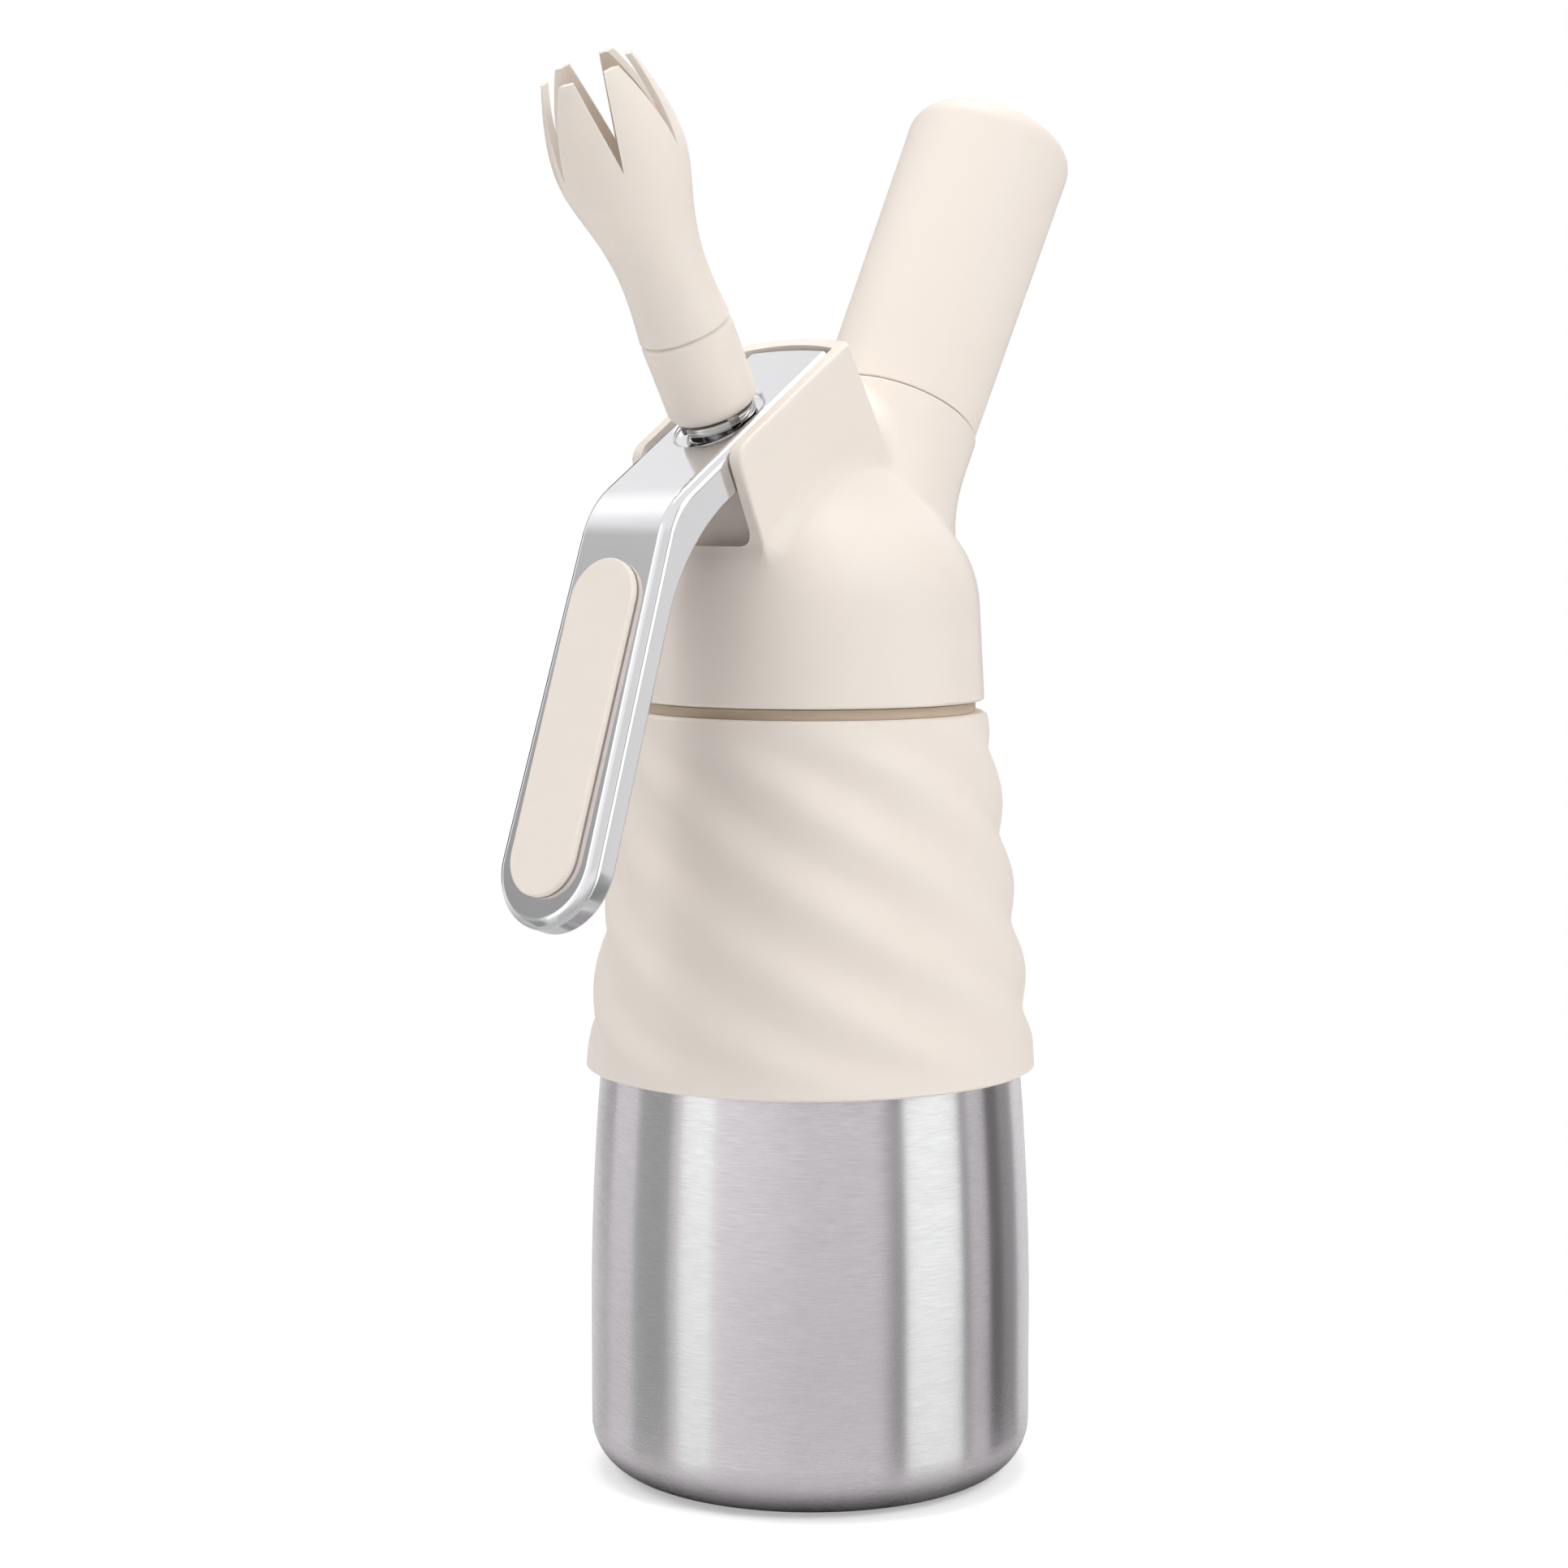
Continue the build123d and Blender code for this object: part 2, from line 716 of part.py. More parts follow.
def make_o_ring():
    return nozzle_frame * (Pos(0, 0, o_ring_at) * Torus(o_ring_r, o_ring_wire_r))


def make_bearing_ring():
    body = ring(stem_r + ring_bore_gap, ring_r, ring_bottom, ring_top)
    body = fillet(body.edges().filter_by(GeomType.CIRCLE).sort_by(SortBy.RADIUS)[-2:], ring_round)
    notch = Pos(ring_r, 0, ring_bottom) * Box(2 * ring_notch_depth, ring_notch, 4 * ring_thickness)
    for place in range(ring_notches):
        body -= Rot(0, 0, ring_turn + 360 * place / ring_notches) * notch
    return nozzle_frame * body


def make_collar():
    body = turned(
        Polyline(
            (stem_r + fit_gap, collar_bottom),
            (collar_foot_r, collar_bottom),
            (collar_top_r, collar_top),
            (stem_r + fit_gap, collar_top),
            close=True,
        )
    )
    foot = body.edges().filter_by(GeomType.CIRCLE).group_by(Axis.Z)[0].sort_by(SortBy.RADIUS)[-1]
    body = fillet(foot, collar_round)
    top = body.edges().filter_by(GeomType.CIRCLE).group_by(Axis.Z)[-1].sort_by(SortBy.RADIUS)[-1]
    return nozzle_frame * fillet(top, collar_top_round)


def tip_side(inset):
    """Outer line of the tip, or its inner line when drawn inset by the wall."""
    return Spline(
        (tip_waist_r - inset, tip_waist),
        (tip_bulge_r - inset, tip_bulge),
        (tip_mouth_r - inset, tip_mouth),
        tangents=[(0, 1), (-0.36, 1)],
    )


def make_tip():
    mouth = (tip_mouth_r, tip_mouth)
    outside = turned(
        Spline((tip_foot_r, tip_bottom), (tip_waist_r, tip_waist), tangents=[(-0.09, 1), (0, 1)]),
        tip_side(0),
        Polyline(mouth, (0, tip_mouth), (0, tip_bottom), (tip_foot_r, tip_bottom)),
    )
    inner_waist = (tip_waist_r - tip_wall, tip_waist)
    inside = turned(
        tip_side(tip_wall),
        Polyline(
            (tip_mouth_r - tip_wall, tip_mouth),
            (0, tip_mouth),
            (0, insert_top),
            (tip_throat_r, insert_top),
            inner_waist,
        ),
    )
    body = outside - inside - ring(0, insert_r + fit_gap, tip_bottom, insert_top)
    slope = tip_notch_half / (tip_mouth - tip_notch_from)
    overshoot = tip_mouth + tip_wall
    wedge_half = slope * (overshoot - tip_notch_from)
    wedge = make_face(
        Polyline((0, tip_notch_from), (wedge_half, overshoot), (-wedge_half, overshoot), close=True)
    )
    notch = extrude(Plane.YZ * wedge, 2 * tip_bulge_r)
    for petal in range(tip_petals):
        body -= Rot(0, 0, tip_turn + 360 * petal / tip_petals) * notch
    return nozzle_frame * body


def make_tip_insert():
    return nozzle_frame * ring(stem_r + insert_gap, insert_r, tip_bottom, insert_top)


def make_holder():
    body = turned(
        Polyline(
            (0, holder_bottom),
            (holder_foot_r, holder_bottom),
            (holder_foot_r + holder_flare, holder_top),
            (0, holder_top),
            close=True,
        )
    )
    body = fillet(body.edges().filter_by(GeomType.CIRCLE).group_by(Axis.Z)[-1], holder_round)
    body = fillet(body.edges().filter_by(GeomType.CIRCLE).group_by(Axis.Z)[0], parting_round)
    return holder_frame * (body - ring(0, holder_inner_r, holder_bottom, holder_inner_top))


def make_liner():
    body = ring(0, liner_r, holder_bottom, liner_top)
    body -= ring(0, liner_r - liner_wall, holder_bottom, stud_top + cartridge_gap)
    body -= ring(0, cartridge_r + cartridge_gap, holder_bottom, liner_inner_top)
    return holder_frame * body


def cartridge_form(gap):
    """Neck, shoulder and body of the cartridge, grown by a gap for the socket around it."""
    tip = (cartridge_neck_r + gap, cartridge_tip - gap)
    neck = (cartridge_neck_r + gap, cartridge_tip + cartridge_neck)
    shoulder = (cartridge_r + gap, neck[1] + cartridge_shoulder)
    return turned(
        Polyline((0, cartridge_top), (0, tip[1]), tip, neck),
        Spline(neck, shoulder, tangents=[(1, 0.3), (0, 1)]),
        Polyline(shoulder, (shoulder[0], cartridge_top), (0, cartridge_top)),
    )


def make_cartridge():
    body = cartridge_form(0)
    rim = body.edges().filter_by(GeomType.CIRCLE).group_by(Axis.Z)[-1]
    return holder_frame * fillet(rim, cartridge_round)


def make_stud():
    body = ring(0, stud_flange_r, boss_top - stud_flange, boss_top)
    body += ring(0, stud_r, boss_top, stud_top)
    body += ring(0, stud_shank_r, stud_bottom, boss_top - stud_flange)
    body -= cartridge_form(cartridge_gap)
    body -= ring(0, pin_seat_r + fit_gap, stud_bottom, cartridge_tip)
    return holder_frame * body


def make_piercing_pin():
    body = ring(pin_hole_r, pin_seat_r, pin_flange_bottom, gasket_bottom)
    body += ring(pin_hole_r, pin_tail_r, pin_tail_end, pin_flange_bottom)
    body += ring(pin_hole_r, pin_tip_r, gasket_bottom, gasket_top)
    return holder_frame * body


def make_piercing_gasket():
    return holder_frame * ring(pin_tip_r + fit_gap, pin_seat_r, gasket_bottom, gasket_top)


def make_pin_retainer():
    return holder_frame * ring(pin_tail_r + fit_gap, pin_seat_r, retainer_bottom, pin_flange_bottom)


def make_nonreturn_sleeve():
    top = pin_tail_end + sleeve_valve_length
    return holder_frame * ring(pin_tail_r + fit_gap, sleeve_valve_r, pin_tail_end, top)


save("bottle", make_bottle())
save("grip_sleeve", make_sleeve())
save("head_body", make_head())
save("head_gasket", make_gasket())
save("lever_pin", make_lever_pin())
save("lever", make_lever())
save("lever_pad_base", make_pad_base())
save("lever_pad", make_pad())
save("valve_seat", make_valve_seat())
save("valve_disc", make_valve_disc())
save("valve_stem", make_valve_stem())
save("spring_washer", make_washer())
save("valve_spring", make_spring())
save("guide_bush", make_bush())
save("stem_o_ring", make_o_ring())
save("bearing_ring", make_bearing_ring())
save("tip_collar", make_collar())
save("tulip_tip", make_tip())
save("tip_insert", make_tip_insert())
save("charger_holder", make_holder())
save("holder_liner", make_liner())
save("gas_cartridge", make_cartridge())
save("charger_stud", make_stud())
save("piercing_pin", make_piercing_pin())
save("piercing_gasket", make_piercing_gasket())
save("pin_retainer", make_pin_retainer())
save("nonreturn_sleeve", make_nonreturn_sleeve())
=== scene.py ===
# %% [markdown]
# # A cream whipper
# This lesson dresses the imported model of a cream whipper: a brushed steel bottle with a
# fluted soft sleeve, a cream-coloured head with a squeeze lever, a nozzle with a tulip tip and
# a tilted charger holder. The model comes in as a frame of named nodes, in metres with +Z up.
# We make the view and the studio first, then the shared effects, then one finish after another.

import math

import bmesh
import bpy
from mathutils import Matrix, Vector


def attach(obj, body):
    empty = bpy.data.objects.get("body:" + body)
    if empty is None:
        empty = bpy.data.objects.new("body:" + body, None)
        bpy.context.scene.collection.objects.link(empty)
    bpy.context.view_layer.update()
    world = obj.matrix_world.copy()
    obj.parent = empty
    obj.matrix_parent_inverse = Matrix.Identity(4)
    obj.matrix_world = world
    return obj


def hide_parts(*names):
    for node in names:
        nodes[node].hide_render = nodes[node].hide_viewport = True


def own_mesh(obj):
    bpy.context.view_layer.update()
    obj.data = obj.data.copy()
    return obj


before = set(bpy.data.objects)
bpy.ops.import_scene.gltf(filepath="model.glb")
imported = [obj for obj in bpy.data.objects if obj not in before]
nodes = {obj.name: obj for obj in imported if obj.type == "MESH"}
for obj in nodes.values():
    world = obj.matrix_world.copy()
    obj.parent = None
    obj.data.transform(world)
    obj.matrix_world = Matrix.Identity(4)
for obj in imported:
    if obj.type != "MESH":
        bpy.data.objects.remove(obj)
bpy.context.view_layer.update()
scene = bpy.context.scene

# %% [markdown]
# ## The view
# A camera can be placed by eye or worked out. Here it is worked out: the picture is square,
# the lens is long, and the camera stands a little above the whipper's middle and looks slightly
# down. From there the lever is at the front left and the charger holder leans away to the right.
# The focal length is given in pixels of the picture, and the distances in metres.

# %% Camera
PICTURE = 1932
FOCAL = 4100
SENSOR = 36
HEADING = math.radians(41.4)
LOOK_DOWN = math.radians(4.76)
CAMERA_AWAY = 0.600
CAMERA_HEIGHT = 0.1748
CAMERA_LEFT = 0.00479
ahead = Vector((math.cos(HEADING), math.sin(HEADING), 0))
right = Vector((math.sin(HEADING), -math.cos(HEADING), 0))
up = Vector((0, 0, 1))

lens = bpy.data.cameras.new("view")
lens.sensor_width = SENSOR
lens.lens = FOCAL / PICTURE * SENSOR
lens.clip_start, lens.clip_end = 0.01, 50
camera = bpy.data.objects.new("view", lens)
camera.location = ahead * -CAMERA_AWAY + up * CAMERA_HEIGHT + right * -CAMERA_LEFT
sight = ahead * math.cos(LOOK_DOWN) - up * math.sin(LOOK_DOWN)
camera.rotation_mode = "QUATERNION"
camera.rotation_quaternion = sight.to_track_quat("-Z", "Y")
scene.collection.objects.link(camera)
scene.camera = camera
scene.view_settings.view_transform = "Standard"
print("lens", round(lens.lens, 1), "mm at", [round(v, 3) for v in camera.location])

# %% [markdown]
# ## Small helpers for node trees
# Every finish is a tree of shader nodes. One helper adds a node, sets its options and either
# links or sets each of its sockets, so that a material reads like a list. Another starts a
# group: a small tree with named inputs and outputs that several materials can share.

# %% Node helpers
def fill(tree, made, sockets):
    """Sets a node's sockets to values, or links them to the sockets of other nodes."""
    for name, value in sockets.items():
        if isinstance(value, bpy.types.NodeSocket):
            tree.links.new(value, made.inputs[name])
        else:
            made.inputs[name].default_value = value
    return made


def add(tree, kind, sockets=None, **options):
    """Adds a shader node with its options, then fills its sockets."""
    made = tree.nodes.new("ShaderNode" + kind)
    for name, value in options.items():
        setattr(made, name, value)
    return fill(tree, made, sockets or {})


def start_group(name, inputs, outputs):
    """A shader node group with named sockets; returns it with its input and output node."""
    group = bpy.data.node_groups.new(name, "ShaderNodeTree")
    for label, kind, value in inputs:
        socket = group.interface.new_socket(label, in_out="INPUT", socket_type="NodeSocket" + kind)
        if value is not None:
            socket.default_value = value
    for label, kind in outputs:
        group.interface.new_socket(label, in_out="OUTPUT", socket_type="NodeSocket" + kind)
    return group, group.nodes.new("NodeGroupInput"), group.nodes.new("NodeGroupOutput")


def place_group(tree, group, sockets):
    """Puts a shared group into a material with its own values."""
    made = tree.nodes.new("ShaderNodeGroup")
    made.node_tree = group
    return fill(tree, made, sockets)


def empty_material(name):
    """A material with an empty node tree."""
    material = bpy.data.materials.new(name)
    material.use_nodes = True
    material.node_tree.nodes.clear()
    return material, material.node_tree


def start_material(name):
    """A material with its Principled shader wired to the output."""
    material, tree = empty_material(name)
    shader = add(tree, "BsdfPrincipled")
    add(tree, "OutputMaterial", {"Surface": shader.outputs["BSDF"]})
    return material, tree, shader


def own_coordinates(tree, place=(0, 0, 0), tilt=0.0):
    """A point's place in the piece itself, turned so that a tilted axis becomes Z."""
    point = add(tree, "TexCoord").outputs["Object"]
    turned = add(
        tree,
        "Mapping",
        {"Vector": point, "Location": place, "Rotation": (0, tilt, 0)},
        vector_type="TEXTURE",
    )
    return turned.outputs["Vector"]


def spread(tree, value, low, high):
    """Stretches a mask of 0 to 1 between two values."""
    made = add(tree, "MapRange", {"Value": value, "To Min": low, "To Max": high})
    return made.outputs["Result"]


def mean(tree, first, second):
    """The middle of two masks."""
    both = add(tree, "Math", {0: first, 1: second}, operation="ADD")
    return add(tree, "Math", {0: both.outputs[0], 1: 0.5}, operation="MULTIPLY").outputs[0]


def blend(tree, mask, first, second):
    """A colour between two, by a mask."""
    made = add(tree, "Mix", {"Factor": mask, "A": first, "B": second}, data_type="RGBA")
    return made.outputs["Result"]


def bumped(tree, height, depth):
    """A normal that follows a height, whose full range is a depth in metres."""
    return add(tree, "Bump", {"Strength": 1.0, "Distance": depth, "Height": height}).outputs[0]


def toned(colour, tone):
    """A colour times a tone, channel by channel."""
    return tuple(c * t for c, t in zip(colour, tone)) + (1,)


print("helpers ready")

# %% [markdown]
# ## The studio
# The whipper stands on a pale floor in front of white. The world is soft and dim for lighting,
# but shows plain white to the camera. Metal sees it white as well, and a little darker below the
# horizon, as a real room is.

# %% World
WHITE = (1, 1, 1, 1)
AMBIENT = 0.2
AMBIENT_TINT = (1, 0.99, 0.98, 1)
LOW_WHITE = 0.62
LOW_FROM, LOW_TO = -0.40, -0.05
world = bpy.data.worlds.new("studio")
world.use_nodes = True
tree = world.node_tree
tree.nodes.clear()
ray = add(tree, "LightPath").outputs
toward = add(tree, "SeparateXYZ", {"Vector": add(tree, "TexCoord").outputs["Generated"]})
level = add(
    tree,
    "MapRange",
    {"Value": toward.outputs["Z"], "From Min": LOW_FROM, "From Max": LOW_TO, "To Min": LOW_WHITE},
)
soft = add(tree, "Background", {"Color": AMBIENT_TINT, "Strength": AMBIENT})
mirrored = add(tree, "Background", {"Color": WHITE, "Strength": level.outputs["Result"]})
white = add(tree, "Background", {"Color": WHITE, "Strength": 1.0})
seen = add(
    tree, "Math", {0: ray["Is Camera Ray"], 1: ray["Is Transmission Ray"]}, operation="MAXIMUM"
)
inner = add(
    tree, "MixShader", {0: ray["Is Glossy Ray"], 1: soft.outputs[0], 2: mirrored.outputs[0]}
)
mixed = add(tree, "MixShader", {0: seen.outputs[0], 1: inner.outputs[0], 2: white.outputs[0]})
add(tree, "OutputWorld", {"Surface": mixed.outputs[0]})
scene.world = world
print("ambient", AMBIENT)

# %% [markdown]
# ## The floor
# A sheet of pale paper is the usual floor for such a picture. It keeps a shadow near the bottle
# and turns to the white of the background further out, so that no horizon shows. The bottle's
# foot mirrors the floor close to it. For those reflections alone, the floor's grey is painted dark
# near the foot: a painted shade for the little light that gets under the foot.
# All of this depends on the distance from the bottle's axis, so one length steers the material.

# %% Floor
FLOOR_R = 4.0
FLOOR_STEPS = 96
FLOOR_DROP = 0.0002
FOOT_R = 0.034
SHADOW_R = 0.045
MIRROR_R = 0.075
WHITE_R = 0.16
PAPER_GREY = 0.96
# The first grey is a painted shade: the floor's grey as metal sees it right at the foot.
FOOT_PAINTED_SHADE, SHADOW_GREY = 0.08, 0.85
PAPER_LIFT = 0.38
mesh = bpy.data.meshes.new("floor")
shape = bmesh.new()
bmesh.ops.create_circle(shape, cap_ends=True, segments=FLOOR_STEPS, radius=FLOOR_R)
shape.to_mesh(mesh)
shape.free()
floor = bpy.data.objects.new("floor", mesh)
floor.location.z = -FLOOR_DROP
scene.collection.objects.link(floor)

paper, tree = empty_material("floor_paper")
point = add(tree, "TexCoord").outputs["Object"]
reach = add(tree, "VectorMath", {0: point}, operation="LENGTH").outputs["Value"]
ray = add(tree, "LightPath").outputs


def beyond(near, far, rays):
    """0 inside a near distance and 1 beyond a far one, for one kind of ray."""
    ramp = add(tree, "MapRange", {"Value": reach, "From Min": near, "From Max": far})
    ramp.interpolation_type = "SMOOTHSTEP"
    made = add(tree, "Math", {0: ramp.outputs["Result"], 1: rays}, operation="MULTIPLY")
    return made.outputs[0]


# Painted shade: the grey that metal sees in the floor falls to near black towards the foot.
painted_foot_shade = add(
    tree,
    "MapRange",
    {
        "Value": reach,
        "From Min": FOOT_R,
        "From Max": SHADOW_R,
        "To Min": FOOT_PAINTED_SHADE,
        "To Max": SHADOW_GREY,
    },
)
paper_or_painted_shade = add(
    tree,
    "Mix",
    {"Factor": ray["Is Glossy Ray"], "A": PAPER_GREY, "B": painted_foot_shade.outputs["Result"]},
    data_type="FLOAT",
)
matt = add(tree, "BsdfDiffuse", {"Color": paper_or_painted_shade.outputs[0]})
lift = add(tree, "Emission", {"Color": WHITE, "Strength": PAPER_LIFT})
clear = add(tree, "Emission", {"Color": WHITE, "Strength": 1.0})
away = add(tree, "BsdfTransparent")
bright = add(tree, "AddShader", {0: matt.outputs[0], 1: lift.outputs[0]})
lit = add(tree, "MixShader", {0: ray["Is Camera Ray"], 1: matt.outputs[0], 2: bright.outputs[0]})
faded = add(
    tree,
    "MixShader",
    {0: beyond(SHADOW_R, WHITE_R, ray["Is Camera Ray"]), 1: lit.outputs[0], 2: clear.outputs[0]},
)
cover = add(
    tree,
    "MixShader",
    {0: beyond(SHADOW_R, MIRROR_R, ray["Is Glossy Ray"]), 1: faded.outputs[0], 2: away.outputs[0]},
)
add(tree, "OutputMaterial", {"Surface": cover.outputs[0]})
floor.data.materials.append(paper)
print("floor radius", FLOOR_R, "m")

# %% [markdown]
# ## Lamps
# Lamps give the light on cream and floor: two tall soft boxes at the sides, a key lamp from the
# upper right, one from the top and two from the sides above. They are placed by their angle from
# the camera, seen from above: 0 is at the camera, positive to the right. All but the top lamp are
# hidden from the metal, because cards stand for them there.

# %% Lamps
MIDDLE = (0, 0, 0.12)
BOX_HEIGHT = 0.15
BOX_AIM = (0, 0, BOX_HEIGHT)


def around(angle, distance, height):
    """A point at an angle from the camera, seen from above, at a distance from the bottle."""
    turn = math.radians(angle)
    return (ahead * -math.cos(turn) + right * math.sin(turn)) * distance + up * height


def lamp(name, place, aim, size, watts, mirrored=False):
    """A soft box at a place, facing a point; the camera doesn't see it."""
    light = bpy.data.lights.new(name, "AREA")
    light.shape = "RECTANGLE"
    light.size, light.size_y = size
    light.energy = watts
    box = bpy.data.objects.new(name, light)
    box.location = place
    box.rotation_mode = "QUATERNION"
    box.rotation_quaternion = (Vector(aim) - Vector(place)).to_track_quat("-Z", "Y")
    box.visible_camera = False
    box.visible_glossy = mirrored
    scene.collection.objects.link(box)
    return box


lamps = [
    lamp("box_left", around(-62, 1.1, BOX_HEIGHT), BOX_AIM, size=(0.38, 1.9), watts=1.95),
    lamp("box_right", around(68, 1.1, BOX_HEIGHT), BOX_AIM, size=(0.60, 1.9), watts=2.9),
    lamp("key", around(38, 1.2, 1.0), MIDDLE, size=(0.5, 0.5), watts=7.0),
    lamp("top", (0.05, 0.1, 1.5), MIDDLE, size=(0.8, 0.8), watts=9.0, mirrored=True),
    lamp("upper_left", around(-80, 1.0, 1.2), MIDDLE, size=(0.8, 0.8), watts=6.0),
    lamp("upper_right", around(75, 1.0, 1.2), MIDDLE, size=(0.7, 0.7), watts=1.9),
]
print("lamps", [box.name for box in lamps])

# %% [markdown]
# ## Cards for the reflections
# Polished and brushed metal shows what stands round it. Tall cards stand for what the metal
# sees: two bright ones in front of the soft boxes make the bright bands on the bottle, and grey
# ones beside them the darker bands. Each tall card dims towards its foot. A high card gives the
# lever's bend its soft white band, and a dark one behind draws the thin line along its far edge.
# A card's columns are angles from the camera with a grey for each, and its rows are heights with
# the share of the grey that is left there.

# %% Cards
CARD_AWAY = 1.3
BACK_AWAY = 1.2
BLACK = 0.01
COOL = (0.935, 1.0, 0.955, 1)
WALL = ((-1.2, 0.46), (-0.55, 0.58), (-0.08, 1.0), (1.4, 1.0))
LEFT_LOW = ((-1.2, 0.60), (-0.55, 0.66), (-0.08, 1.0), (0.35, 0.70))
LEFT_HIGH = ((0.35, 0.70), (0.54, 0.70), (0.66, 0.88), (0.86, 1.32), (0.95, 1.60))
HIGH_WALL = ((0.95, 1.0), (2.4, 1.0))
BACK_LOW = ((0.0, 1.0), (0.40, 1.0))
BACK_HIGH = ((0.40, 1.0), (1.0, 1.0))
FRONT = ((0.42, 1.0), (0.95, 1.0))
BEND_GLOW = (
    (-165, 0.95),
    (-149, 1.05),
    (-136, 1.20),
    (-124, 1.36),
    (-112, 1.36),
    (-103, 1.12),
    (-95, 0.91),
    (-85, 0.75),
)


def card(name, columns, rows=WALL, tint=WHITE, away=CARD_AWAY):
    """A card that only reflections see."""
    corners, greys, faces = [], [], []
    for height, dimmed in rows:
        for angle, grey in columns:
            corners.append(tuple(around(angle, away, height)))
            greys.append(grey * dimmed)
    wide = len(columns)
    for n in range(len(corners) - wide):
        if n % wide < wide - 1:
            faces.append((n, n + 1, n + wide + 1, n + wide))
    mesh = bpy.data.meshes.new(name)
    mesh.from_pydata(corners, [], faces)
    mesh.attributes.new("grey", "FLOAT", "POINT").data.foreach_set("value", greys)
    material, tree = empty_material(name)
    shade = add(tree, "Attribute", attribute_name="grey")
    glow = add(tree, "Emission", {"Color": tint, "Strength": shade.outputs["Fac"]})
    add(tree, "OutputMaterial", {"Surface": glow.outputs[0]})
    mesh.materials.append(material)
    sheet = bpy.data.objects.new(name, mesh)
    sheet.visible_camera = False
    sheet.visible_diffuse = False
    sheet.visible_transmission = False
    sheet.visible_shadow = False
    scene.collection.objects.link(sheet)
    return sheet


def even_card(name, start, end, grey, *rows, **options):
    """A card with one grey from a start angle to an end angle."""
    return card(name, ((start, grey), (end, grey)), *rows, **options)


cards = [
    card("card_far_left", ((-148, 0.90), (-127, 0.82))),
    even_card("card_left", -104, -78, 0.58, LEFT_LOW, tint=COOL),
    even_card("card_left_high", -104, -78, 0.57, LEFT_HIGH),
    even_card("card_box_left", -71.5, -52, 1.58, tint=COOL),
    card("card_glow", ((-52, 1.20), (-6, 1.0))),
    card("card_thin", ((36, 1.0), (49.5, 0.17))),
    even_card("card_box_right", 49.5, 84, 1.62, tint=COOL),
    even_card("card_edge", 84, 90, 0.42),
    even_card("card_grey", 90, 105, 0.87),
    even_card("card_dark", 105, 118, 0.20),
    even_card("card_right", 118, 136, 0.40),
    card("card_high", BEND_GLOW, HIGH_WALL),
    even_card("card_front", -5, 30, 0.87, FRONT),
    card("card_back", [(a, BLACK) for a in (150, 175, 200, 232)], BACK_LOW, away=BACK_AWAY),
    even_card("card_back_high", 175, 206, BLACK, BACK_HIGH, away=BACK_AWAY),
]
print("cards", [sheet.name for sheet in cards])

# %% [markdown]
# ## Moulded grain
# Four effects come back in several finishes, so each is a group. The first is the very fine
# unevenness of silicone, plastic and coated metal. It could be modelled, but it is far too small
# for that, so a fine noise gives a height for bump, and a broad one a slow change of tone.

# %% Moulded grain
PATCHES_PER_METRE = 45.0
grain, given, made = start_group(
    "moulded_grain",
    [("Vector", "Vector", None), ("Grains per metre", "Float", 3000.0)],
    [("Height", "Float"), ("Tone", "Float")],
)
point = given.outputs["Vector"]
dense = given.outputs["Grains per metre"]
fine = add(
    grain, "TexNoise", {"Vector": point, "Scale": dense, "Detail": 3.0, "Roughness": 0.6}
)
broad = add(grain, "TexNoise", {"Vector": point, "Scale": PATCHES_PER_METRE, "Detail": 2.0})
fill(grain, made, {"Height": fine.outputs[0], "Tone": broad.outputs[0]})
print("group", grain.name)

# %% [markdown]
# ## Brushing round an axis
# Brushed and turned metal has short lines that run round an axis. A noise is stretched round Z
# for them: slow along the way round, fast along the axis and outwards. A second, slower noise on
# the same path gives broader streaks.

# %% Brushing round an axis
STREAK_PACE = (0.45, 0.45, 0.09)
brushing, given, made = start_group(
    "brushing_round_axis",
    [
        ("Vector", "Vector", None),
        ("Lines per metre", "Float", 5000.0),
        ("Lines round", "Float", 12.0),
    ],
    [("Lines", "Float"), ("Streaks", "Float")],
)
parts = add(brushing, "SeparateXYZ", {"Vector": given.outputs["Vector"]})
flat = add(brushing, "CombineXYZ", {"X": parts.outputs["X"], "Y": parts.outputs["Y"]})
way_out = add(brushing, "VectorMath", {0: flat.outputs[0]}, operation="NORMALIZE")
radius = add(brushing, "VectorMath", {0: flat.outputs[0]}, operation="LENGTH")
ring = add(
    brushing,
    "VectorMath",
    {0: way_out.outputs[0], "Scale": given.outputs["Lines round"]},
    operation="SCALE",
)
along = add(
    brushing, "Math", {0: parts.outputs["Z"], 1: radius.outputs["Value"]}, operation="ADD"
)
fast = add(
    brushing,
    "Math",
    {0: along.outputs[0], 1: given.outputs["Lines per metre"]},
    operation="MULTIPLY",
)
rise = add(brushing, "CombineXYZ", {"Z": fast.outputs[0]})
path = add(brushing, "VectorMath", {0: ring.outputs[0], 1: rise.outputs[0]}, operation="ADD")
lines = add(brushing, "TexNoise", {"Vector": path.outputs[0], "Scale": 1.0, "Detail": 4.0})
slow = add(brushing, "VectorMath", {0: path.outputs[0], 1: STREAK_PACE}, operation="MULTIPLY")
streaks = add(brushing, "TexNoise", {"Vector": slow.outputs[0], "Scale": 1.0, "Detail": 3.0})
fill(brushing, made, {"Lines": lines.outputs[0], "Streaks": streaks.outputs[0]})
print("group", brushing.name)

# %% [markdown]
# ## Scratches and handling
# Fine scratches are what polishing leaves: a noise that is stretched along one direction.
# Handling is a faint, broad cloudiness that makes a surface less even in its gloss. A noise
# hardly leaves the middle of its range, so that part is stretched to the full range of a mask.

# %% Fine scratches and handling
NOISE_LOW, NOISE_HIGH = 0.3, 0.7


def full_range(tree, noise):
    """Stretches the part of a noise that is in use to a mask of 0 to 1."""
    made = add(tree, "MapRange", {"Value": noise, "From Min": NOISE_LOW, "From Max": NOISE_HIGH})
    return made.outputs["Result"]


